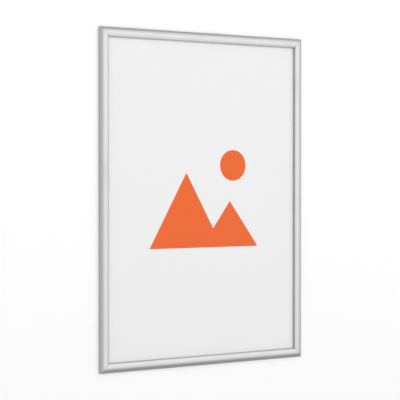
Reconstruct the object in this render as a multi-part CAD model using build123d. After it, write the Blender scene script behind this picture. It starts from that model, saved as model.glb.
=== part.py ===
from build123d import *
from math import atan2, cos, degrees, radians, sin, sqrt, tan
import os

# Wall-mounted snap frame for an A1 sheet, for outdoor use. All lengths are in millimetres.
# Four mitred base rails are screwed to a wall. On the outer edge of each one, a long lid hinges
# on a bead. Bent leaf clips push on a cam heel of the lid and snap it shut or open. Shut, the
# four lids press a rubber seal on a clear cover, which holds the sheet on the back panel.
#
# X is to the right, +Z is up and the front looks along -Y. The origin is the centre of the
# frame on the wall plane, Y = 0.
# A rail's section is drawn in its own axes: "in" runs from the frame's outer edge towards the
# opening, "out" runs from the wall towards the viewer, and the rail itself lies along local Z.

# The frame and its rails
frame_width = 645.0
frame_height = 895.0
profile_width = 25.0
profile_depth = 12.0

# The sheet on show, which the opening between the rails leaves free at its sides and its ends,
# and what holds it. These margins give an A1 sheet, 594 by 841.
sheet_side_margin = 0.5
sheet_end_margin = 2.0
sheet_thickness = 0.3
back_panel_thickness = 1.5
cover_thickness = 0.5
panel_clearance = 0.3

# Hinge bead on the base rail, and the hook of the lid that turns on it
hinge_in = 2.5
hinge_out = 4.0
bead_radius = 1.3
bead_clearance = 0.08
neck_thickness = 1.0
neck_angle = 45.0
hook_set_in = 0.1
hook_first_angle = -12.0
hook_last_angle = 195.0

# Base rail
web_thickness = 1.2
web_edge = 0.4
web_reach = 24.0
channel_in = 8.0
channel_width = 7.0
fin_thickness = 0.8
fin_height = 1.2
rib_thickness = 1.0
rib_lip_reach = 1.4
rib_lip_thickness = 1.0
rib_lip_gap = 0.2

# Lid shell: a tight shoulder, a broad crown and a small inner corner, then a straight lip
lid_wall = 1.2
shoulder_radius = 3.0
crown_radius = 25.0
crest_in = 15.0
corner_radius = 1.5
lip_out = 4.0
lid_mitre_gap = 0.15
lid_swing_gap = 0.15

# Cam heel of the lid: a round nose and one flat that the leaf clip bears on
heel_radius = 5.0
heel_flat_radius = 4.7
heel_flat_angle = 45.0
heel_last_angle = 120.0

# Groove in the lid's lip, and the seal in it
groove_width = 2.8
groove_fin_thickness = 0.8
groove_roof_thickness = 0.8
groove_fin_out = 4.6
groove_depth = 2.4
groove_hook_reach = 0.5
groove_hook_thickness = 0.5
seal_clearance = 0.08
seal_gap = 0.1
seal_bulb_width = 2.3
seal_bulb_rounding = 0.35

# Leaf clips of spring steel
clip_thickness = 0.5
clip_width = 30.0
clip_bend_radius = 0.65
clip_arm_bend_radius = 1.0
clip_fold_gap = 0.9
clip_arm_clearance = 0.06
clip_tip_past_flat = 0.4
clip_channel_gap = 0.15
short_side_clips = 2
short_side_clip_spacing = 300.0
long_side_clips = 3
long_side_clip_spacing = 240.0

# Corner keys and the grub screws that jam them in the channels
key_thickness = 2.0
key_length = 45.0
key_side_gap = 0.1
key_end_chamfer = 1.5
key_screw_radius = 1.5
key_screw_length = 2.5
key_screw_place = 30.0
key_hole_clearance = 0.05
socket_across_flats = 1.5
socket_depth = 1.2

# Wall screw holes, two in each upright rail
wall_hole_radius = 2.25
wall_hole_spacing = 600.0

overrun = 5.0

# Heights above the wall that follow from the stack on the web
panel_edge_in = channel_in + channel_width + rib_thickness + panel_clearance
back_panel_top = web_thickness + back_panel_thickness
sheet_top = back_panel_top + sheet_thickness
cover_top = sheet_top + cover_thickness
channel_far = channel_in + channel_width
channel_centre = channel_in + channel_width / 2
rib_lip_out = web_thickness + key_thickness + rib_lip_gap

hook_radius = hinge_in - hook_set_in
bore_radius = bead_radius + bead_clearance
crown_centre_out = profile_depth - crown_radius
shoulder_centre_out = crown_centre_out + sqrt(
    (crown_radius - shoulder_radius) ** 2 - (crest_in - shoulder_radius) ** 2
)
corner_centre_in = profile_width - corner_radius
corner_centre_out = crown_centre_out + sqrt(
    (crown_radius - corner_radius) ** 2 - (corner_centre_in - crest_in) ** 2
)


def polar(radius, angle):
    """A point at a radius and an angle, in degrees, about the hinge."""
    turn = radians(angle)
    return (hinge_in + radius * cos(turn), hinge_out + radius * sin(turn))


def band(in_low, in_high, out_low, out_high):
    """A rectangle of the section, given by its four edges."""
    size = Rectangle(in_high - in_low, out_high - out_low)
    return Pos((in_low + in_high) / 2, (out_low + out_high) / 2) * size


def area(*points):
    """A face with straight sides."""
    return make_face(Polyline(*points, close=True))


def disc(radius):
    """A disc about the hinge."""
    return Pos(hinge_in, hinge_out) * Circle(radius)


def sector(first_angle, last_angle, reach):
    """A wedge about the hinge, cut off by straight sides outside the reach."""
    middle = (first_angle + last_angle) / 2
    far = 2 * reach
    return area(
        polar(0, first_angle),
        polar(far, first_angle),
        polar(far, (first_angle + middle) / 2),
        polar(far, middle),
        polar(far, (last_angle + middle) / 2),
        polar(far, last_angle),
    )


def lid_form(inset, lip_bottom):
    """The lid's outer form, drawn in by an inset, down to the lip's bottom on the inner side."""
    shoulder_end = degrees(
        atan2(shoulder_centre_out - crown_centre_out, shoulder_radius - crest_in)
    )
    corner_start = degrees(
        atan2(corner_centre_out - crown_centre_out, corner_centre_in - crest_in)
    )
    shoulder = CenterArc(
        (shoulder_radius, shoulder_centre_out),
        shoulder_radius - inset,
        180,
        shoulder_end - 180,
    )
    crown = CenterArc(
        (crest_in, crown_centre_out),
        crown_radius - inset,
        shoulder_end,
        corner_start - shoulder_end,
    )
    corner = CenterArc(
        (corner_centre_in, corner_centre_out),
        corner_radius - inset,
        corner_start,
        -corner_start,
    )
    outer_foot = shoulder @ 0
    inner_foot = (profile_width - inset, lip_bottom)
    outline = [
        shoulder,
        crown,
        corner,
        Line(corner @ 1, inner_foot),
        Line(inner_foot, outer_foot),
    ]
    return make_face(outline)


def base_section():
    """Web, hinge bead on its neck, channel fin, and the rib with its lip over the channel."""
    web = band(web_edge, web_reach, 0, web_thickness)
    along = radians(-neck_angle)
    half = neck_thickness / 2
    side = (half * sin(along), -half * cos(along))
    drop = (hinge_out - web_thickness / 2) / sin(radians(neck_angle))
    foot = polar(drop, -neck_angle)
    neck = area(
        (hinge_in + side[0], hinge_out + side[1]),
        (foot[0] + side[0], foot[1] + side[1]),
        (foot[0] - side[0], foot[1] - side[1]),
        (hinge_in - side[0], hinge_out - side[1]),
    )
    fin = band(channel_in - fin_thickness, channel_in, 0, web_thickness + fin_height)
    rib_top = rib_lip_out + rib_lip_thickness
    rib = band(channel_far, channel_far + rib_thickness, 0, rib_top)
    lip = band(channel_far - rib_lip_reach, channel_far, rib_lip_out, rib_top)
    return web + disc(bead_radius) + neck + fin + rib + lip


def heel_section():
    """The cam heel beside the hook: a round nose, and the flat for the leaf clip."""
    flat = Pos(*polar(heel_flat_radius - profile_width / 2, heel_flat_angle))
    below_flat = flat * Rot(0, 0, heel_flat_angle) * Rectangle(profile_width, 2 * profile_width)
    reach = sector(hook_first_angle, heel_last_angle, heel_radius)
    nose = disc(heel_radius) & below_flat & reach
    return nose & lid_form(0, 0)


def groove_section():
    """The fin, the roof and the two small hooks that hold the seal beside the lip."""
    lip_in = profile_width - lid_wall
    groove_in = lip_in - groove_width
    fin_in = groove_in - groove_fin_thickness
    roof_out = groove_fin_out + groove_depth
    hook_top = groove_fin_out + groove_hook_thickness
    fin = band(fin_in, groove_in, groove_fin_out, roof_out)
    roof = band(fin_in, lip_in, roof_out, roof_out + groove_roof_thickness)
    fin_hook = band(groove_in, groove_in + groove_hook_reach, groove_fin_out, hook_top)
    lip_hook = band(lip_in - groove_hook_reach, lip_in, groove_fin_out, hook_top)
    return fin + roof + fin_hook + lip_hook


def hook_foot():
    """The flat outer wall, from the shoulder down in line with the last side of the mouth."""
    foot_out = hinge_out - hinge_in * tan(radians(hook_last_angle - 180))
    return area(
        (0, foot_out),
        (hinge_in, hinge_out),
        (hinge_in, shoulder_centre_out),
        (0, shoulder_centre_out),
    )


def lid_section():
    """The curved shell with the hook that clasps the bead, the heel and the seal groove."""
    shell = lid_form(0, lip_out) - lid_form(lid_wall, 0)
    lid = shell + disc(hook_radius) + hook_foot() + heel_section() + groove_section()
    mouth = sector(hook_last_angle - 360, hook_first_angle, hook_radius)
    return lid - disc(bore_radius) - (mouth & disc(hook_radius + bead_clearance))


def seal_section():
    """A head in the groove, a waist between its hooks, and a rounded bulb on the cover."""
    lip_in = profile_width - lid_wall
    groove_in = lip_in - groove_width
    head_low = groove_fin_out + groove_hook_thickness + seal_clearance
    head_high = groove_fin_out + groove_depth - seal_clearance
    head = band(groove_in + seal_clearance, lip_in - seal_clearance, head_low, head_high)
    waist_in = groove_in + groove_hook_reach + seal_clearance
    waist_far = lip_in - groove_hook_reach - seal_clearance
    bulb_high = groove_fin_out - seal_clearance
    waist = band(waist_in, waist_far, bulb_high, head_low)
    bulb_low = cover_top + seal_gap
    middle = (waist_in + waist_far) / 2
    bulb = Pos(middle, (bulb_low + bulb_high) / 2) * RectangleRounded(
        seal_bulb_width, bulb_high - bulb_low, seal_bulb_rounding
    )
    return head + waist + bulb


def mitred(section, length, gap):
    """A rail of a section, with both ends cut at 45 degrees and set back by a gap."""
    half = length / 2 - gap
    bar = extrude(section, length / 2, both=True)
    wide = profile_width + overrun
    outline = Plane.XZ * area(
        (-overrun, half + overrun),
        (wide, half - wide),
        (wide, wide - half),
        (-overrun, -half - overrun),
    )
    return bar & extrude(outline, profile_depth + overrun, both=True)


def swing_relief(length):
    """The room that a lid's outer edge needs at its ends to turn in past its neighbour."""
    reach = length / 2 - hinge_in - hinge_out - lid_swing_gap
    high = profile_depth + overrun
    outline = Plane.YZ * area(
        (-overrun, reach - overrun),
        (high, reach + high),
        (high, -reach - high),
        (-overrun, overrun - reach),
    )
    return extrude(outline, profile_width + overrun, both=True)


def clip_path():
    """Middle line of a leaf clip: foot, fold under the rib's lip, then the arm at the heel."""
    half = clip_thickness / 2
    foot_out = web_thickness + half
    leaf_out = foot_out + clip_fold_gap + clip_thickness
    fold_in = channel_far - clip_channel_gap - half
    arm_radius = heel_radius + clip_arm_clearance + half
    contact = polar(arm_radius, heel_flat_angle)
    arm_sum = contact[0] + contact[1]
    slant = clip_tip_past_flat / sqrt(2)
    tip = (contact[0] - slant, contact[1] + slant)
    return FilletPolyline(
        (channel_in + clip_channel_gap, foot_out),
        (fold_in, foot_out),
        (fold_in, leaf_out),
        (arm_sum - leaf_out, leaf_out),
        tip,
        radius=[clip_bend_radius, clip_bend_radius, clip_arm_bend_radius],
    )


def leaf_clip():
    """One clip, bent from a strip of spring steel."""
    path = clip_path()
    start = Plane(origin=path @ 0, x_dir=(0, 0, 1), z_dir=path % 0)
    return sweep(start * Rectangle(clip_width, clip_thickness), path)


def clip_group(count, spacing):
    """The clips of one rail, evenly spaced about its middle."""
    one = leaf_clip()
    first = -spacing * (count - 1) / 2
    return [Pos(0, 0, first + spacing * number) * one for number in range(count)]


def corner_key():
    """An L-shaped plate for two channels, with a threaded hole in each leg.

    Its corner is at the origin and its legs run along +X and +Y. Its depth is along +Z.
    """
    near = channel_in + key_side_gap
    far = channel_far - key_side_gap
    plate = area(
        (near, near),
        (key_length, near),
        (key_length, far),
        (far, far),
        (far, key_length),
        (near, key_length),
    )
    key = Pos(0, 0, web_thickness) * extrude(plate, key_thickness)
    ends = key.edges().filter_by(Axis.Z).group_by(lambda edge: edge.center().X + edge.center().Y)
    key = chamfer(ends[-1], key_end_chamfer)
    hole = Cylinder(key_screw_radius + key_hole_clearance, profile_depth)
    for x, y in key_screw_places():
        key -= Pos(x, y, 0) * hole
    return key


def key_screw_places():
    """Where the two grub screws stand in a corner key."""
    return [(key_screw_place, channel_centre), (channel_centre, key_screw_place)]


def grub_screw():
    """A headless screw that stands on the web, with a hexagon socket in its top."""
    from_web = (Align.CENTER, Align.CENTER, Align.MIN)
    body = Pos(0, 0, web_thickness) * Cylinder(key_screw_radius, key_screw_length, align=from_web)
    hexagon = RegularPolygon(socket_across_flats / 2, 6, major_radius=False)
    top = web_thickness + key_screw_length
    socket = Pos(0, 0, top - socket_depth) * extrude(hexagon, socket_depth + overrun)
    return body - socket


def sides():
    """Name, length and section plane of each of the four rails."""
    half_width = frame_width / 2
    half_height = frame_height / 2
    return [
        ("top", frame_width, Plane((0, 0, half_height), (0, 0, -1), (-1, 0, 0))),
        ("bottom", frame_width, Plane((0, 0, -half_height), (0, 0, 1), (1, 0, 0))),
        ("left", frame_height, Plane((-half_width, 0, 0), (1, 0, 0), (0, 0, -1))),
        ("right", frame_height, Plane((half_width, 0, 0), (-1, 0, 0), (0, 0, 1))),
    ]


def corners():
    """Name and plane of each corner: the legs run along the plane's X and Y, depth along Z."""
    half_width = frame_width / 2
    half_height = frame_height / 2
    out = (0, -1, 0)
    return [
        ("top_left", Plane((-half_width, 0, half_height), (0, 0, -1), out)),
        ("top_right", Plane((half_width, 0, half_height), (-1, 0, 0), out)),
        ("bottom_left", Plane((-half_width, 0, -half_height), (1, 0, 0), out)),
        ("bottom_right", Plane((half_width, 0, -half_height), (0, 0, 1), out)),
    ]


def base_rail(length, upright):
    """A mitred base rail. The upright ones have the holes for the wall screws."""
    rail = mitred(base_section(), length, 0)
    if upright:
        drill = Rot(90, 0, 0) * Cylinder(wall_hole_radius, profile_depth)
        for side in (-1, 1):
            rail -= Pos(channel_centre, 0, side * wall_hole_spacing / 2) * drill
    return rail


def lid(length):
    """A mitred lid, relieved at its ends so that it can open beside a shut one."""
    return mitred(lid_section(), length, lid_mitre_gap) & swing_relief(length)


def panel(width, height, low, thickness):
    """A flat sheet parallel to the wall, centred on the frame."""
    return Pos(0, -low - thickness / 2, 0) * Box(width, thickness, height)


def save(name, *shapes):
    """Write one node from the solids of its shapes."""
    solids = [solid for shape in shapes for solid in shape.solids()]
    node = solids[0] if len(solids) == 1 else Compound(children=solids)
    export_step(node, f"parts/{name}.step")
    print(name, len(solids), round(sum(solid.volume for solid in solids), 1))


os.makedirs("parts", exist_ok=True)

for side_name, side_length, plane in sides():
    upright = side_length == frame_height
    count = long_side_clips if upright else short_side_clips
    spacing = long_side_clip_spacing if upright else short_side_clip_spacing
    place = plane.location
    save(f"base_rail_{side_name}", place * base_rail(side_length, upright))
    save(f"lid_{side_name}", place * lid(side_length))
    save(f"seal_{side_name}", place * mitred(seal_section(), side_length, lid_mitre_gap))
    save(f"clip_springs_{side_name}", *[place * clip for clip in clip_group(count, spacing)])

screws = []
for corner_name, plane in corners():
    place = plane.location
    save(f"corner_key_{corner_name}", place * corner_key())
    screws += [place * Pos(x, y, 0) * grub_screw() for x, y in key_screw_places()]
save("corner_key_screws", *screws)

panel_width = frame_width - 2 * panel_edge_in
panel_height = frame_height - 2 * panel_edge_in
sheet_width = frame_width - 2 * (profile_width + sheet_side_margin)
sheet_height = frame_height - 2 * (profile_width + sheet_end_margin)
save("back_panel", panel(panel_width, panel_height, web_thickness, back_panel_thickness))
save("poster_insert", panel(sheet_width, sheet_height, back_panel_top, sheet_thickness))
save("cover_sheet", panel(panel_width, panel_height, sheet_top, cover_thickness))
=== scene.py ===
# %% [markdown]
# # A snap frame on a wall
# The object is a slim poster frame for outdoors. Four silver rails with mitred corners hold a
# white sheet behind a clear cover, and each rail's lid swings open at its outer edge so that the
# sheet can be changed from the front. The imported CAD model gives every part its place. This
# lesson adds what CAD leaves out: smooth lids, the finishes, the wall, the light and the camera.

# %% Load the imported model
from math import acos, atan2, cos, degrees, hypot, pi, radians, sin, sqrt, tan

import bpy
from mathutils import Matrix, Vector


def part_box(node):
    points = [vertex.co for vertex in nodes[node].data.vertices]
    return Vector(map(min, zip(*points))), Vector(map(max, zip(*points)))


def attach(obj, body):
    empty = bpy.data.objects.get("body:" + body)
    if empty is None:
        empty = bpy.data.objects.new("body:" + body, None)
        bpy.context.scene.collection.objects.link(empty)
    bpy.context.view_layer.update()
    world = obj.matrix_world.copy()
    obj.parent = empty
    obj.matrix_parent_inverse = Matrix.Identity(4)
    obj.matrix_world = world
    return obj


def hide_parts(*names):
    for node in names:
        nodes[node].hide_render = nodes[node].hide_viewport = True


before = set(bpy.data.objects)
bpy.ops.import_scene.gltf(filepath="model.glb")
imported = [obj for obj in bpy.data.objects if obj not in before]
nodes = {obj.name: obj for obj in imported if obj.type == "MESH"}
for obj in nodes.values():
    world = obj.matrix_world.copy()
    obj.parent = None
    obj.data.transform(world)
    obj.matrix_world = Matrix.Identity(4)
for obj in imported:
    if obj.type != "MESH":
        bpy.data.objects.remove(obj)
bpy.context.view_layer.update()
MM = 0.001

# %% [markdown]
# ## Camera
# The photograph looks at the frame from the left and from a hand above its middle, with a long
# lens, so that its lines run together only a little. The camera is tilted down by one degree: the
# edges of the frame that slope towards the right show how far it stands above the middle, and
# the uprights, which come together by less than a pixel, show the tilt.

# %% Camera to the left of the frame
camera_data = bpy.data.cameras.new("photo_camera")
camera_data.sensor_width = 36
camera_data.lens = 124.18
camera_data.clip_start = 0.05
camera_data.clip_end = 60
camera = bpy.data.objects.new("photo_camera", camera_data)
camera.location = (-2.0245, -3.1275, 0.0622)
camera.rotation_euler = (radians(89.015), 0, radians(-32.75))
bpy.context.scene.collection.objects.link(camera)
bpy.context.scene.camera = camera
print("camera distance:", round(camera.location.length, 3), "m")

# %% [markdown]
# ## Wall and floor
# The frame hangs on a white wall, well above the floor. The wall is one plane with a window cut
# in it, a little smaller than the frame, which covers that window from the front. Through it
# light reaches the frame's back, so the back can be looked at too. Seen from behind or from
# below, wall and floor are see-through: their material turns transparent on the back of a face.

# %% Helpers to select and edit by hand
def only(piece):
    """Leave one object selected and active."""
    bpy.ops.object.select_all(action="DESELECT")
    piece.select_set(True)
    bpy.context.view_layer.objects.active = piece


def start_edit(piece, kind="FACE"):
    """Enter edit mode on one object with nothing selected."""
    only(piece)
    bpy.ops.object.mode_set(mode="EDIT")
    bpy.ops.mesh.select_mode(type=kind)
    bpy.ops.mesh.select_all(action="DESELECT")


def end_edit():
    """Leave edit mode."""
    bpy.ops.object.mode_set(mode="OBJECT")


def settle(piece):
    """Put the object's place, turn and scale into its mesh."""
    only(piece)
    bpy.ops.object.transform_apply(location=True, rotation=True, scale=True)


# %% Wall with a window behind the frame
frame_width = 645 * MM
frame_height = 895 * MM
wall_behind = 0.5 * MM
window_margin = 3 * MM
wall_spread = 6.0
floor_level = -1.3
floor_depth = 2.9
facing_viewer = (radians(90), 0, 0)

bpy.ops.mesh.primitive_plane_add(size=1, location=(0, wall_behind, 0), rotation=facing_viewer)
wall = bpy.context.object
wall.name = "wall"
window_width = frame_width - 2 * window_margin
window_height = frame_height - 2 * window_margin
wall.scale = (window_width + 2 * wall_spread, window_height + 2 * wall_spread, 1)
settle(wall)
start_edit(wall)
bpy.ops.mesh.select_all(action="SELECT")
bpy.ops.mesh.inset(thickness=wall_spread)
bpy.ops.mesh.delete(type="FACE")
bpy.ops.mesh.select_all(action="SELECT")
bpy.ops.mesh.bisect(plane_co=(0, 0, floor_level), plane_no=(0, 0, -1), clear_outer=True)
end_edit()
print("wall faces:", len(wall.data.polygons), "normal:", tuple(wall.data.polygons[0].normal))

# %% Floor below the wall
bpy.ops.mesh.primitive_plane_add(size=1, location=(0, 0, floor_level))
floor = bpy.context.object
floor.name = "floor"
floor.scale = (wall.dimensions.x, floor_depth, 1)
settle(floor)
print("floor:", tuple(round(side, 2) for side in floor.dimensions), "m")

# %% [markdown]
# ## Nodes for finishes
# A finish is a small network of shader nodes. Helpers keep the cells short: they add a node and
# set its inputs, start and end a node group, do one step of arithmetic, and later make a material
# with its Principled shader. Effects that more than one finish uses are node groups, made once:
# the lines that a die leaves along a rail, the marks of hands and weather, and the dull line
# where two mitred ends meet.

# %% Helpers to add nodes
def add_node(tree, kind, inputs=None, **settings):
    """Add a shader node, set its options, and set or link its inputs."""
    made = tree.nodes.new("ShaderNode" + kind)
    for option, choice in settings.items():
        setattr(made, option, choice)
    for name, source in (inputs or {}).items():
        if isinstance(source, bpy.types.NodeSocket):
            tree.links.new(source, made.inputs[name])
        else:
            made.inputs[name].default_value = source
    return made


def new_group(name, **inputs):
    """Start a node group with a vector input, number inputs and their usual values."""
    group = bpy.data.node_groups.new(name, "ShaderNodeTree")
    group.interface.new_socket("Vector", in_out="INPUT", socket_type="NodeSocketVector")
    for label, usual in inputs.items():
        socket = group.interface.new_socket(label, in_out="INPUT", socket_type="NodeSocketFloat")
        socket.default_value = usual
    return group, group.nodes.new("NodeGroupInput")


def end_group(group, **outputs):
    """Give a node group its outputs, all of them numbers."""
    for label in outputs:
        group.interface.new_socket(label, in_out="OUTPUT", socket_type="NodeSocketFloat")
    last = group.nodes.new("NodeGroupOutput")
    for label, source in outputs.items():
        group.links.new(source, last.inputs[label])


def number(tree, operation, first, second=0.0, third=0.0, clamp=False):
    """One step of arithmetic on sockets or plain numbers, as a node."""
    inputs = {0: first, 1: second, 2: third}
    return add_node(tree, "Math", inputs, operation=operation, use_clamp=clamp).outputs[0]


# %% Group: the lines that a die leaves along a rail
lines, lines_in = new_group("die_lines", Fineness=2200.0, Length=3.0)
across = add_node(lines, "CombineXYZ", {
    "X": lines_in.outputs["Length"],
    "Y": lines_in.outputs["Fineness"],
    "Z": lines_in.outputs["Fineness"],
})
stretched = add_node(lines, "VectorMath", {0: lines_in.outputs["Vector"], 1: across.outputs[0]},
                     operation="MULTIPLY")
fine = add_node(lines, "TexNoise", {"Vector": stretched.outputs[0], "Scale": 1.0, "Detail": 3.0})
wide = add_node(lines, "TexNoise", {"Vector": stretched.outputs[0], "Scale": 0.17, "Detail": 1.0})
half_wide = number(lines, "MULTIPLY", wide.outputs["Fac"], 0.5)
end_group(lines, Lines=number(lines, "MULTIPLY_ADD", fine.outputs["Fac"], 0.5, half_wide))
print("die_lines nodes:", len(lines.nodes))

# %% Group: marks of hands and weather
marks, marks_in = new_group("hand_and_weather_marks", Size=9.0)
clouds = add_node(marks, "TexNoise", {
    "Vector": marks_in.outputs["Vector"], "Scale": marks_in.outputs["Size"], "Detail": 5.0,
    "Roughness": 0.6,
})
smudges = add_node(marks, "MapRange", {
    "Value": clouds.outputs["Fac"], "From Min": 0.48, "From Max": 0.72,
}, interpolation_type="SMOOTHSTEP")
specks = add_node(marks, "TexNoise", {
    "Vector": marks_in.outputs["Vector"], "Scale": 900.0, "Detail": 2.0,
})
dust = add_node(marks, "MapRange", {
    "Value": specks.outputs["Fac"], "From Min": 0.64, "From Max": 0.72,
}, interpolation_type="SMOOTHSTEP")
end_group(marks, Smudges=smudges.outputs[0], Dust=dust.outputs[0])
print("hand_and_weather_marks nodes:", len(marks.nodes))

# %% Group: the dull line beside a mitre
mitre_line, mitre_in = new_group("mitre_line", Width=1.2 * MM)
place = add_node(mitre_line, "SeparateXYZ", {0: mitre_in.outputs["Vector"]})
from_middle = number(mitre_line, "ABSOLUTE", place.outputs["X"])
above_middle = number(mitre_line, "ABSOLUTE", place.outputs["Z"])
spare_height = (frame_height - frame_width) / 2
gap = number(mitre_line, "SUBTRACT", from_middle, above_middle)
gap = number(mitre_line, "ABSOLUTE", number(mitre_line, "ADD", gap, spare_height))
share = number(mitre_line, "DIVIDE", gap, mitre_in.outputs["Width"])
end_group(mitre_line, Line=number(mitre_line, "SUBTRACT", 1.0, share, clamp=True))
print("mitre_line nodes:", len(mitre_line.nodes))


# %% Helper to start a finish
def new_finish(name, **shader_values):
    """A material with object coordinates and a Principled shader with plain values."""
    finish = bpy.data.materials.new(name)
    finish.use_nodes = True
    tree = finish.node_tree
    shader = tree.nodes["Principled BSDF"]
    for label, level in shader_values.items():
        shader.inputs[label.replace("_", " ")].default_value = level
    return finish, tree, shader, add_node(tree, "TexCoord").outputs["Object"]


def place_group(tree, group, vector, **inputs):
    """Place a node group in a finish."""
    return add_node(tree, "Group", {"Vector": vector, **inputs}, node_tree=group)


def blend_colour(tree, share, first, second):
    """A colour between two, by a mask."""
    mix = add_node(tree, "Mix", data_type="RGBA")
    for index, source in ((0, share), (6, first), (7, second)):
        if isinstance(source, bpy.types.NodeSocket):
            tree.links.new(source, mix.inputs[index])
        else:
            mix.inputs[index].default_value = (*source, 1.0)
    return mix.outputs[2]


def between(tree, share, low, high):
    """A number between two, by a mask."""
    return add_node(tree, "MapRange", {"Value": share, "To Min": low, "To Max": high}).outputs[0]


def raise_surface(tree, shader, height, distance):
    """Let a height map tilt the shader's normal."""
    bump = add_node(tree, "Bump", {"Height": height, "Distance": distance, "Strength": 1.0})
    tree.links.new(bump.outputs[0], shader.inputs["Normal"])


# %% [markdown]
# A wall of matt white paint never comes out as pure white under light that shows the frame's own
# colours truly. More light would bleach the sheet. So the wall's paint gets a faint glow, through
# the Light Path node, that only the camera and mirror images see. It lights nothing, and the
# frame's soft shadow on the wall stays.

# %% Wall and floor paint
def one_sided_paint(name, colour, glow=0.0):
    """Matt paint on the front of a face, and nothing at all on its back."""
    paint, tree, shader, place = new_finish(name, Roughness=0.9, Specular_IOR_Level=0.1)
    mottle = add_node(tree, "TexNoise", {"Vector": place, "Scale": 3.0, "Detail": 4.0})
    paler = tuple(level * 1.01 for level in colour)
    tree.links.new(blend_colour(tree, mottle.outputs["Fac"], colour, paler),
                   shader.inputs["Base Color"])
    ray = add_node(tree, "LightPath").outputs
    mirrored = number(tree, "MAXIMUM", ray["Is Glossy Ray"], ray["Is Transmission Ray"])
    seen = number(tree, "MAXIMUM", ray["Is Camera Ray"], mirrored)
    tree.links.new(number(tree, "MULTIPLY", seen, glow), shader.inputs["Emission Strength"])
    behind = add_node(tree, "NewGeometry").outputs["Backfacing"]
    clear = add_node(tree, "BsdfTransparent")
    either = add_node(tree, "MixShader", {0: behind, 1: shader.outputs[0], 2: clear.outputs[0]})
    tree.links.new(either.outputs[0], tree.nodes["Material Output"].inputs["Surface"])
    return paint


wall.data.materials.append(one_sided_paint("wall_paint", (0.965, 0.965, 0.965), glow=0.055))
floor.data.materials.append(one_sided_paint("floor_paint", (0.66, 0.66, 0.66)))
print("paints:", wall.data.materials[0].name, floor.data.materials[0].name)

# %% [markdown]
# ## Light
# Satin metal shows what is around it, so the light here is mostly a bright surrounding: a white
# studio that is brightest level with the frame, dimmer towards the floor and dim overhead. From
# side to side it is brightest in front of the frame and a little to the right. It is dimmer at
# the left, where the camera stands in the light's way, and beside the wall. Small lamps would
# draw hard lines on the rails. One large soft lamp at the right, a little above the frame, gives
# the wall its soft shadow at the frame's left.

# %% Helpers that turn angles into light
def light_bands(tree, position, level_at, position_of):
    """A ramp that gives each angle, in degrees, its own level of light.

    A new ramp has a first and a last element, which serve for the lowest and the highest angle.
    """
    bands = add_node(tree, "ValToRGB", {"Fac": position})
    ramp = bands.color_ramp
    lowest, *angles, highest = level_at
    for angle in angles:
        ramp.elements.new(position_of(angle))
    for band, level in zip(ramp.elements, level_at.values()):
        band.color = (level, level, level, 1)
    print("bands from", lowest, "to", highest, "degrees:", len(ramp.elements))
    return bands.outputs["Color"]


def rise_position(angle):
    """Where an angle above the horizon lies on a ramp from straight down to straight up."""
    return sin(radians(angle)) / 2 + 0.5


def turn_position(angle):
    """Where an angle to the right of the front lies on a ramp once around."""
    return angle / 360 + 0.5


# %% Studio surroundings
world = bpy.data.worlds.new("studio")
bpy.context.scene.world = world
world.use_nodes = True
studio = world.node_tree
toward = add_node(studio, "SeparateXYZ", {0: add_node(studio, "TexCoord").outputs["Generated"]})
rise_share = number(studio, "MULTIPLY_ADD", toward.outputs["Z"], 0.5, 0.5)
forward = number(studio, "MULTIPLY", toward.outputs["Y"], -1.0)
turn = number(studio, "ARCTAN2", toward.outputs["X"], forward)
turn_share = number(studio, "MULTIPLY_ADD", turn, 0.5 / pi, 0.5)

# Levels of light at angles above the horizon, and at angles to the right of straight ahead
studio_brightness = 1.12
light_at_height = {
    -90: 0.60, -67: 0.80, -50: 1.00, -35: 1.15, -20: 1.24, -5: 1.44, 8: 1.53,
    22: 1.43, 38: 1.08, 52: 0.70, 68: 0.38, 90: 0.20,
}
light_at_side = {
    -180: 0.60, -90: 0.66, -60: 0.57, -35: 0.47, -15: 0.58, 0: 0.88, 15: 1.0,
    35: 0.96, 55: 0.80, 75: 0.60, 95: 0.42, 120: 0.45, 180: 0.60,
}

by_height = light_bands(studio, rise_share, light_at_height, rise_position)
by_side = light_bands(studio, turn_share, light_at_side, turn_position)
strength = number(studio, "MULTIPLY", by_side, studio_brightness)
background = studio.nodes["Background"]
studio.links.new(by_height, background.inputs["Color"])
studio.links.new(strength, background.inputs["Strength"])

# %% One soft lamp at the right
lamp_data = bpy.data.lights.new("soft_lamp", "AREA")
lamp_data.shape = "RECTANGLE"
lamp_data.size = 4.0
lamp_data.size_y = 3.0
lamp_data.energy = 5
lamp = bpy.data.objects.new("soft_lamp", lamp_data)
lamp.location = (1.9, -2.9, 1.5)
lamp.rotation_euler = Vector(-lamp.location).to_track_quat("-Z", "Y").to_euler()
bpy.context.scene.collection.objects.link(lamp)
print("lamp distance:", round(lamp.location.length, 2), "m")

# %% [markdown]
# ## Lids
# Each lid is one extruded aluminium profile: a thin shell with a tight shoulder at the outer
# edge, a broad crown and a small inner corner, a hook that clasps the hinge bead, a cam heel,
# and a groove for the seal. The CAD mesh shows flats on the crown. The section is therefore
# drawn anew, point by point with extrude and arc by arc with spin, which gives arcs as smooth as
# wanted. It could be a curve with a bevel depth too, but the drawn loop becomes a solid with one
# more extrude, and can be cut to a mitre with bisect, as the real profile is sawn.

# %% Sizes of the lid's section
lid_wall = 1.2 * MM
shoulder_radius = 3 * MM
crown_radius = 25 * MM
crest_in = 15 * MM
corner_radius = 1.5 * MM
profile_width = 25 * MM
profile_depth = 12 * MM
lip_out = 4.0 * MM
hinge_in = 2.5 * MM
hinge_out = 4.0 * MM
bore_radius = 1.38 * MM
heel_radius = 5 * MM
heel_flat_radius = 4.7 * MM
heel_flat_angle = 45
mouth_first_angle = -12
mouth_last_angle = 195
groove_width = 2.8 * MM
groove_wall = 0.8 * MM
groove_foot_out = 4.6 * MM
groove_depth = 2.4 * MM
groove_hook = 0.5 * MM

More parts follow.
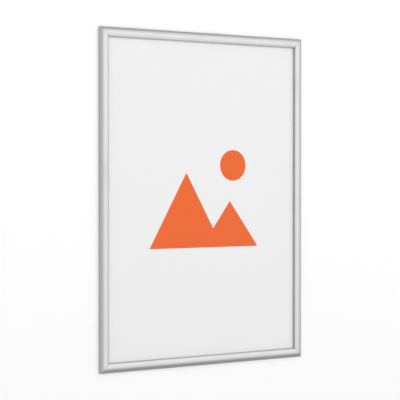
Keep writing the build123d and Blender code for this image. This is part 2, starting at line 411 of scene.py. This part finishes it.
crown_centre_out = profile_depth - crown_radius
shoulder_drop = sqrt((crown_radius - shoulder_radius) ** 2 - (crest_in - shoulder_radius) ** 2)
shoulder_centre_out = crown_centre_out + shoulder_drop
corner_centre_in = profile_width - corner_radius
corner_drop = sqrt((crown_radius - corner_radius) ** 2 - (corner_centre_in - crest_in) ** 2)
corner_centre_out = crown_centre_out + corner_drop
shoulder_end = degrees(atan2(shoulder_drop, shoulder_radius - crest_in))
corner_start = degrees(atan2(corner_drop, corner_centre_in - crest_in))
print("crown runs from", round(shoulder_end, 1), "to", round(corner_start, 1), "degrees")


# %% A pen that draws a section in edit mode
class Pen:
    """Draws the outline of a section in the plane at the rail's left end.

    "In" runs along Z from the rail's outer edge, and "out" along -Y from the wall.
    """

    def __init__(self, plane_x, start):
        """Start with one vertex: a plane merged to its centre."""
        self.x = plane_x
        self.at = start
        bpy.ops.object.select_all(action="DESELECT")
        bpy.ops.mesh.primitive_plane_add(size=MM, location=(plane_x, -start[1], start[0]))
        start_edit(bpy.context.object, "VERT")
        bpy.ops.mesh.select_all(action="SELECT")
        bpy.ops.mesh.merge(type="CENTER")

    def line(self, end):
        """Extrude the last vertex to a point of the section."""
        step = (0, self.at[1] - end[1], end[0] - self.at[0])
        bpy.ops.mesh.extrude_region_move(TRANSFORM_OT_translate={"value": step})
        self.at = end

    def arc(self, centre, turn, steps):
        """Spin the last vertex about a point of the section, by an angle in degrees."""
        middle = (self.x, -centre[1], centre[0])
        bpy.ops.mesh.spin(steps=steps, angle=-radians(turn), center=middle, axis=(1, 0, 0))
        first = degrees(atan2(self.at[1] - centre[1], self.at[0] - centre[0]))
        radius = hypot(self.at[0] - centre[0], self.at[1] - centre[1])
        self.at = around(centre, radius, first + turn)

    def close(self):
        """Join the loop where it meets itself, and fill it with one face."""
        bpy.ops.mesh.select_all(action="SELECT")
        bpy.ops.mesh.remove_doubles(threshold=0.005 * MM)
        bpy.ops.mesh.edge_face_add()
        end_edit()
        return bpy.context.object


def around(centre, radius, angle):
    """A point of the section at a radius and an angle, in degrees, about a centre."""
    return (centre[0] + radius * cos(radians(angle)), centre[1] + radius * sin(radians(angle)))


# %% Draw the lid's section
def draw_lid_section(plane_x):
    """The closed loop of the lid: outside first, then the groove, the heel and the hook's bore."""
    hinge = (hinge_in, hinge_out)
    crown = (crest_in, crown_centre_out)
    lip_in = profile_width - lid_wall
    foot = (0, hinge_out - hinge_in * tan(radians(mouth_last_angle - 180)))
    pen = Pen(plane_x, foot)
    pen.line((0, shoulder_centre_out))
    pen.arc((shoulder_radius, shoulder_centre_out), shoulder_end - 180, 10)
    pen.arc(crown, corner_start - shoulder_end, 16)
    pen.arc((corner_centre_in, corner_centre_out), -corner_start, 8)
    pen.line((profile_width, lip_out))
    pen.line((lip_in, lip_out))
    draw_seal_groove(pen, lip_in)
    pen.line((lip_in, corner_centre_out))
    pen.arc((corner_centre_in, corner_centre_out), corner_start, 6)
    pen.arc(crown, flat_meets_crown() - corner_start, 12)
    nose_angle = heel_flat_angle - degrees(acos(heel_flat_radius / heel_radius))
    pen.line(around(hinge, heel_radius, nose_angle))
    pen.arc(hinge, mouth_first_angle - nose_angle, 8)
    pen.line(around(hinge, bore_radius, mouth_first_angle))
    pen.arc(hinge, mouth_last_angle - mouth_first_angle, 28)
    pen.line(foot)
    return pen.close()


def draw_seal_groove(pen, lip_in):
    """The groove beside the lip: hooks at its mouth, a roof, and a fin on its far side."""
    groove_in = lip_in - groove_width
    hook_top = groove_foot_out + groove_hook
    roof = groove_foot_out + groove_depth
    pen.line((lip_in, groove_foot_out))
    pen.line((lip_in - groove_hook, groove_foot_out))
    pen.line((lip_in - groove_hook, hook_top))
    pen.line((lip_in, hook_top))
    pen.line((lip_in, roof))
    pen.line((groove_in, roof))
    pen.line((groove_in, hook_top))
    pen.line((groove_in + groove_hook, hook_top))
    pen.line((groove_in + groove_hook, groove_foot_out))
    pen.line((groove_in - groove_wall, groove_foot_out))
    pen.line((groove_in - groove_wall, roof + groove_wall))
    pen.line((lip_in, roof + groove_wall))


def flat_meets_crown():
    """Angle about the crown's centre at which the heel's flat runs into the shell.

    The flat faces 45 degrees between "in" and "out", so both its parts are the root of a half.
    """
    slant = sqrt(0.5)
    start = (hinge_in + heel_flat_radius * slant, hinge_out + heel_flat_radius * slant)
    reach = (start[0] - crest_in, start[1] - crown_centre_out)
    along = slant * (reach[1] - reach[0])
    spare = (crown_radius - lid_wall) ** 2 - reach[0] ** 2 - reach[1] ** 2
    step = sqrt(along ** 2 + spare) - along
    return degrees(atan2(reach[1] + slant * step, reach[0] - slant * step))


# %% [markdown]
# ## Lids from the section
# The drawn face is pulled out to the rail's length. Both ends are sawn at 45 degrees and then
# relieved towards the wall, so that a lid can swing open beside its neighbour. The saw leaves
# bare metal, which gets its own finish. A very small bevel takes the sharpness off the edges.
# Smooth shading spreads the tilt of such a bevel over the whole of the face beside it, here all
# along the rail. So each rail is scored across near its ends, and the tilt stays in that strip.

# %% Pull the section to length and saw its ends
mitre_gap = 0.15 * MM
swing_gap = 0.15 * MM
edge_round = 0.12 * MM
end_strip = 1.5 * MM
sharp_angle = 40
smooth_angle = 20
far_off_axis = (-3.1, -1.7, 2.3)


def saw(place, direction):
    """Cut off all that lies beyond a plane, and close the cut."""
    bpy.ops.mesh.select_all(action="SELECT")
    bpy.ops.mesh.bisect(plane_co=place, plane_no=direction, use_fill=True, clear_outer=True)


def score(place, direction):
    """Divide the faces along a plane and cut nothing off."""
    bpy.ops.mesh.select_all(action="SELECT")
    bpy.ops.mesh.bisect(plane_co=place, plane_no=direction)


def put_in_order():
    """Number the corners, edges and faces by their distance from a point off every axis.

    Closing a cut numbers them differently from run to run, and the bevel follows the numbers.
    """
    bpy.context.scene.cursor.location = far_off_axis
    bpy.ops.mesh.sort_elements(type="CURSOR_DISTANCE", elements={"VERT", "EDGE", "FACE"})


def make_lid(name, length):
    """A lid that lies along X, with its outer edge on Z = 0 and its wall side on Y = 0."""
    lid = draw_lid_section(-length / 2)
    lid.name = name
    start_edit(lid)
    bpy.ops.mesh.select_all(action="SELECT")
    bpy.ops.mesh.extrude_region_move(TRANSFORM_OT_translate={"value": (length, 0, 0)})
    mitre = length / 2 - mitre_gap
    relief = length / 2 - hinge_in - hinge_out - swing_gap
    for end in (1, -1):
        saw((end * mitre, 0, 0), (end, 0, 1))
        saw((end * relief, 0, 0), (end, 1, 0))
    for end in (1, -1):
        score((end * (mitre - end_strip), 0, 0), (end, 0, 1))
        score((end * (relief - end_strip), 0, 0), (end, 1, 0))
    bpy.ops.mesh.select_all(action="SELECT")
    bpy.ops.mesh.normals_make_consistent(inside=False)
    put_in_order()
    end_edit()
    settle(lid)
    return lid


def round_edges(piece, width):
    """A small bevel on sharp edges, applied, and smooth shading elsewhere."""
    only(piece)
    bevel = piece.modifiers.new("edge_round", "BEVEL")
    bevel.width = width
    bevel.segments = 2
    bevel.limit_method = "ANGLE"
    bevel.angle_limit = radians(sharp_angle)
    bpy.ops.object.modifier_apply(modifier=bevel.name)
    bpy.ops.object.shade_smooth_by_angle(angle=radians(smooth_angle))


# %% Model the short and the long lid, and copy each
least_sawn_tilt = 0.3


def mark_sawn_ends(lid):
    """Give the faces that the saw made, which face along the rail, the second material."""
    for face in lid.data.polygons:
        face.material_index = 1 if abs(face.normal.x) > least_sawn_tilt else 0


def copy_of(piece, name):
    """A copy with its own mesh."""
    twin = piece.copy()
    twin.data = piece.data.copy()
    twin.name = name
    bpy.context.scene.collection.objects.link(twin)
    return twin


short_lid = make_lid("lid_shell_bottom", frame_width)
long_lid = make_lid("lid_shell_left", frame_height)
for lid in (short_lid, long_lid):
    round_edges(lid, edge_round)
    lid.data.materials.append(None)
    lid.data.materials.append(None)
    mark_sawn_ends(lid)
    print(lid.name, "faces:", len(lid.data.polygons))

lids = {
    "bottom": short_lid,
    "left": long_lid,
    "top": copy_of(short_lid, "lid_shell_top"),
    "right": copy_of(long_lid, "lid_shell_right"),
}

# %% [markdown]
# All four lids lie along X with their outer edge at zero. Each is turned about Y, the axis that
# points into the wall, and moved to its side of the frame. Place and turn go into the mesh, since
# a pattern in object coordinates would slide otherwise. The lid then rides on its CAD body and
# replaces the CAD lid. A bounding box's first corner is its lowest and its seventh its highest,
# so these two tell how far the new lid departs from the box of the old one.

# %% Turn each lid into its place on the frame
lid_places = {
    "bottom": ((0, 0, -frame_height / 2), 0),
    "top": ((0, 0, frame_height / 2), 180),
    "left": ((-frame_width / 2, 0, 0), 90),
    "right": ((frame_width / 2, 0, 0), -90),
}
for side, (origin, turn) in lid_places.items():
    lid = lids[side]
    lid.rotation_euler = (0, radians(turn), 0)
    lid.location = origin
    settle(lid)
    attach(lid, f"lid_{side}")
    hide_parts(f"lid_{side}")
    low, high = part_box(f"lid_{side}")
    lowest, highest = Vector(lid.bound_box[0]), Vector(lid.bound_box[6])
    apart = max(abs(step) for step in (*(lowest - low), *(highest - high)))
    print(side, "lid and its CAD box differ by at most", round(apart / MM, 3), "mm")

# %% [markdown]
# ## Satin aluminium
# The lids are anodised: a fine matt skin on pressed metal. It reflects its surroundings softly,
# and it shows the lines of the die along the rail. One finish serves both directions of rail,
# with the lines turned along X or Z by a Mapping node. The base rails have the same die lines
# but plain mill metal, a little coarser.

# %% Finish for the lids and the base rails
def rail_metal(name, upright, colour, roughness, line_height):
    """Aluminium with die lines along the rail, smudges, dust and a dull line at the mitres."""
    metal, tree, shader, place = new_finish(name, Metallic=1.0)
    turned = add_node(tree, "Mapping", {
        "Vector": place, "Rotation": (0, radians(90) if upright else 0, 0),
    })
    grain = place_group(tree, lines, turned.outputs[0]).outputs["Lines"]
    wear = place_group(tree, marks, place)
    at_mitre = place_group(tree, mitre_line, place).outputs["Line"]
    paler = tuple(level * 1.06 for level in colour)
    darker = tuple(level * 0.94 for level in colour)
    base = blend_colour(tree, grain, darker, paler)
    handled = number(tree, "MULTIPLY", wear.outputs["Smudges"], 0.25)
    base = blend_colour(tree, handled, base, tuple(level * 0.90 for level in colour))
    dulled = number(tree, "MULTIPLY", at_mitre, 0.6)
    base = blend_colour(tree, dulled, base, tuple(level * 0.72 for level in colour))
    tree.links.new(base, shader.inputs["Base Color"])
    matt = between(tree, grain, roughness - 0.05, roughness + 0.05)
    matt = number(tree, "MULTIPLY_ADD", wear.outputs["Smudges"], 0.06, matt)
    matt = number(tree, "MULTIPLY_ADD", wear.outputs["Dust"], 0.20, matt)
    tree.links.new(matt, shader.inputs["Roughness"])
    raise_surface(tree, shader, grain, line_height)
    return metal


anodised = {"colour": (0.50, 0.50, 0.502), "roughness": 0.30, "line_height": 0.004 * MM}
mill = {"colour": (0.66, 0.66, 0.662), "roughness": 0.42, "line_height": 0.008 * MM}
lid_metal = {
    False: rail_metal("lid_aluminium_level", False, **anodised),
    True: rail_metal("lid_aluminium_upright", True, **anodised),
}
base_metal = {
    False: rail_metal("base_aluminium_level", False, **mill),
    True: rail_metal("base_aluminium_upright", True, **mill),
}
print("rail finishes:", [metal.name for metal in (*lid_metal.values(), *base_metal.values())])


# %% [markdown]
# A saw leaves bare metal with fine curved lines, brighter and rougher than the anodised skin. The
# lids' sawn ends were given a second material slot when they were cut. Here both slots are filled,
# and the CAD base rails get the mill finish.

# %% Finish for the sawn ends
def sawn_metal():
    """Bare aluminium with the curved lines of a saw blade."""
    metal, tree, shader, place = new_finish("lid_saw_cut", Metallic=1.0)
    ring = add_node(tree, "TexWave", {
        "Vector": place, "Scale": 650.0, "Distortion": 1.5, "Detail": 2.0, "Detail Scale": 3.0,
    }, wave_type="RINGS", rings_direction="SPHERICAL")
    cut = ring.outputs["Fac"]
    tree.links.new(blend_colour(tree, cut, (0.50, 0.50, 0.50), (0.66, 0.66, 0.66)),
                   shader.inputs["Base Color"])
    tree.links.new(between(tree, cut, 0.38, 0.55), shader.inputs["Roughness"])
    raise_surface(tree, shader, cut, 0.005 * MM)
    return metal


saw_cut = sawn_metal()
for side, lid in lids.items():
    lid.data.materials[0] = lid_metal[side in ("left", "right")]
    lid.data.materials[1] = saw_cut


def paint_nodes(finish, *names):
    """Give CAD nodes a finish."""
    for name in names:
        slots = nodes[name].data.materials
        slots.clear()
        slots.append(finish)
    print(finish.name, "on", ", ".join(names))


paint_nodes(base_metal[False], "base_rail_top", "base_rail_bottom")
paint_nodes(base_metal[True], "base_rail_left", "base_rail_right")

# %% [markdown]
# ## Rubber, steel and plastic
# Inside the rails are small parts that show when a lid is open: the rubber seal in each lid, leaf
# clips of blue-grey spring steel, zinc-plated corner keys and blackened grub screws. Behind the
# sheet is a white foamed plastic panel. Each finish starts from what the making leaves on it:
# talc on rubber, rolling lines on spring steel, flecks of zinc, and a fine orange peel.

# %% Rubber seal
def seal_rubber():
    """Black rubber, a little greyed by talc."""
    rubber, tree, shader, place = new_finish("seal_rubber", Specular_IOR_Level=0.35)
    wear = place_group(tree, marks, place, Size=40.0)
    talc = number(tree, "MULTIPLY", wear.outputs["Smudges"], 0.5)
    tree.links.new(blend_colour(tree, talc, (0.022, 0.022, 0.024), (0.07, 0.07, 0.072)),
                   shader.inputs["Base Color"])
    tree.links.new(between(tree, talc, 0.5, 0.75), shader.inputs["Roughness"])
    pores = add_node(tree, "TexNoise", {"Vector": place, "Scale": 1500.0, "Detail": 3.0})
    raise_surface(tree, shader, pores.outputs["Fac"], 0.03 * MM)
    return rubber


paint_nodes(seal_rubber(), *[f"seal_{side}" for side in lids])


# %% Spring steel
def spring_steel():
    """Hardened strip, blue-grey, with rolling lines and an oily sheen."""
    steel, tree, shader, place = new_finish("spring_steel", Metallic=1.0)
    grain = place_group(tree, lines, place, Fineness=1800.0, Length=60.0).outputs["Lines"]
    wear = place_group(tree, marks, place, Size=55.0)
    tint = blend_colour(tree, wear.outputs["Smudges"], (0.30, 0.32, 0.36), (0.38, 0.36, 0.34))
    tree.links.new(blend_colour(tree, number(tree, "MULTIPLY", grain, 0.4), tint,
                                (0.20, 0.21, 0.23)), shader.inputs["Base Color"])
    tree.links.new(between(tree, grain, 0.22, 0.36), shader.inputs["Roughness"])
    raise_surface(tree, shader, grain, 0.006 * MM)
    return steel


paint_nodes(spring_steel(), *[f"clip_springs_{side}" for side in lids])


# %% Zinc-plated keys and blackened screws
def zinc_plate():
    """Bright zinc with the flecks of its crystals and a faint yellow cast."""
    zinc, tree, shader, place = new_finish("key_steel", Metallic=1.0)
    flecks = add_node(tree, "TexVoronoi", {"Vector": place, "Scale": 700.0})
    fleck = add_node(tree, "SeparateColor", {0: flecks.outputs["Color"]}).outputs[0]
    tree.links.new(blend_colour(tree, fleck, (0.50, 0.50, 0.49), (0.64, 0.63, 0.58)),
                   shader.inputs["Base Color"])
    tree.links.new(between(tree, fleck, 0.28, 0.42), shader.inputs["Roughness"])
    return zinc


def blackened_steel():
    """Black oxide that has rubbed thin in places."""
    black, tree, shader, place = new_finish("screw_steel", Metallic=1.0)
    wear = place_group(tree, marks, place, Size=700.0)
    tree.links.new(blend_colour(tree, wear.outputs["Smudges"], (0.045, 0.045, 0.05),
                                (0.20, 0.20, 0.20)), shader.inputs["Base Color"])
    tree.links.new(between(tree, wear.outputs["Smudges"], 0.45, 0.30), shader.inputs["Roughness"])
    return black


corner_names = ["top_left", "top_right", "bottom_left", "bottom_right"]
paint_nodes(zinc_plate(), *[f"corner_key_{corner}" for corner in corner_names])
paint_nodes(blackened_steel(), "corner_key_screws")


# %% White back panel
def foamed_plastic():
    """White foamed plastic with a fine orange peel and a few scuffs."""
    plastic, tree, shader, place = new_finish("back_plastic", Specular_IOR_Level=0.4)
    wear = place_group(tree, marks, place, Size=6.0)
    scuffs = number(tree, "MULTIPLY", wear.outputs["Smudges"], 0.35)
    tree.links.new(blend_colour(tree, scuffs, (0.80, 0.80, 0.79), (0.70, 0.70, 0.69)),
                   shader.inputs["Base Color"])
    tree.links.new(between(tree, scuffs, 0.55, 0.70), shader.inputs["Roughness"])
    peel = add_node(tree, "TexNoise", {"Vector": place, "Scale": 450.0, "Detail": 2.0})
    raise_surface(tree, shader, peel.outputs["Fac"], 0.05 * MM)
    return plastic


paint_nodes(foamed_plastic(), "back_panel")

# %% [markdown]
# ## Sheet on show
# The frame is made to show a print, so its sheet carries a plain one: a sun over two hills in one
# orange ink. It could be a thin layer of its own, but ink has no thickness worth modelling and
# two surfaces in one plane flicker. A mask in the paper's finish draws it from the sheet's own
# coordinates, so its edge stays crisp at any size.

# %% Group: sun and hills
picture, picture_in = new_group("sun_and_hills")
spot = add_node(picture, "SeparateXYZ", {0: picture_in.outputs["Vector"]})
across_sheet, up_sheet = spot.outputs["X"], spot.outputs["Z"]
ground = -130 * MM


def inside(edge):
    """A mask that is 1 where a distance inwards is above zero."""
    return number(picture, "GREATER_THAN", edge, 0.0)


def hill(peak_across, peak_up, half_foot):
    """A mask of a hill whose straight sides run down to the ground."""
    slope = (peak_up - ground) / half_foot
    aside = number(picture, "ABSOLUTE", number(picture, "SUBTRACT", across_sheet, peak_across))
    top = number(picture, "MULTIPLY_ADD", aside, -slope, peak_up)
    return inside(number(picture, "SUBTRACT", top, up_sheet))


def sun(middle_across, middle_up, radius):
    """A mask of a disc."""
    aside = number(picture, "SUBTRACT", across_sheet, middle_across)
    above = number(picture, "SUBTRACT", up_sheet, middle_up)
    far = number(picture, "MULTIPLY_ADD", above, above, number(picture, "MULTIPLY", aside, aside))
    return inside(number(picture, "SUBTRACT", radius ** 2, far))


high_hill = hill(-58 * MM, 72 * MM, 115 * MM)
low_hill = hill(82 * MM, -5 * MM, 92 * MM)
above_ground = inside(number(picture, "SUBTRACT", up_sheet, ground))
hills = number(picture, "MULTIPLY", number(picture, "MAXIMUM", high_hill, low_hill), above_ground)
end_group(picture, Ink=number(picture, "MAXIMUM", hills, sun(92 * MM, 92 * MM, 42 * MM)))
print("sun_and_hills nodes:", len(picture.nodes))


# %% Printed paper
paper_whites = ((0.873, 0.873, 0.871), (0.898, 0.898, 0.896))
ink_oranges = ((0.86, 0.115, 0.001), (0.90, 0.130, 0.002))


def printed_paper():
    """Smooth white poster paper with an orange print."""
    paper, tree, shader, place = new_finish("poster_paper", Specular_IOR_Level=0.2)
    fibres = add_node(tree, "TexNoise", {"Vector": place, "Scale": 800.0, "Detail": 4.0})
    white = blend_colour(tree, fibres.outputs["Fac"], *paper_whites)
    orange = blend_colour(tree, fibres.outputs["Fac"], *ink_oranges)
    inked = place_group(tree, picture, place).outputs["Ink"]
    tree.links.new(blend_colour(tree, inked, white, orange), shader.inputs["Base Color"])
    tree.links.new(between(tree, inked, 0.62, 0.48), shader.inputs["Roughness"])
    raise_surface(tree, shader, fibres.outputs["Fac"], 0.01 * MM)
    return paper


paint_nodes(printed_paper(), "poster_insert")

# %% [markdown]
# ## Clear cover
# The cover is half a millimetre of matt clear plastic. A glass shader would darken the sheet
# under it, because Cycles can't lead direct light through it. A Principled shader that is mostly
# transparent lets light and shadow through and keeps a trace of sheen. The CAD cover touches the
# sheet, and a ray that meets two faces at one place can pass through both. So the cover is
# modelled again, a hair's breadth off the sheet, with its cut edges rounded.

# %% Matt clear plastic
def clear_plastic():
    """Clear plastic with a fine matt surface and a few smudges."""
    plastic, tree, shader, place = new_finish("cover_plastic", Specular_IOR_Level=0.6, Alpha=0.015)
    shader.inputs["Base Color"].default_value = (0.86, 0.87, 0.87, 1)
    wear = place_group(tree, marks, place, Size=5.0)
    tree.links.new(between(tree, wear.outputs["Smudges"], 0.18, 0.32), shader.inputs["Roughness"])
    etch = add_node(tree, "TexNoise", {"Vector": place, "Scale": 600.0, "Detail": 2.0})
    raise_surface(tree, shader, etch.outputs["Fac"], 0.01 * MM)
    return plastic


# %% Cover with rounded edges, just off the sheet
off_sheet = 0.04 * MM
cover_edge_round = 0.1 * MM
low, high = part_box("cover_sheet")
back = high.y - off_sheet
bpy.ops.object.select_all(action="DESELECT")
bpy.ops.mesh.primitive_plane_add(size=1, location=(0, back, 0), rotation=facing_viewer)
cover = bpy.context.object
cover.name = "cover_pane"
cover.scale = (high.x - low.x, high.z - low.z, 1)
settle(cover)
start_edit(cover)
bpy.ops.mesh.select_all(action="SELECT")
bpy.ops.mesh.extrude_region_move(TRANSFORM_OT_translate={"value": (0, low.y - back, 0)})
bpy.ops.mesh.select_all(action="SELECT")
bpy.ops.mesh.normals_make_consistent(inside=False)
end_edit()
round_edges(cover, cover_edge_round)
cover.data.materials.append(clear_plastic())
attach(cover, "frame")
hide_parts("cover_sheet")
print("cover:", tuple(round(side / MM, 2) for side in cover.dimensions), "mm")

# %% [markdown]
# ## View transform
# The render shows its colours through the Standard view transform.

# %% Standard view transform
bpy.context.scene.view_settings.view_transform = "Standard"
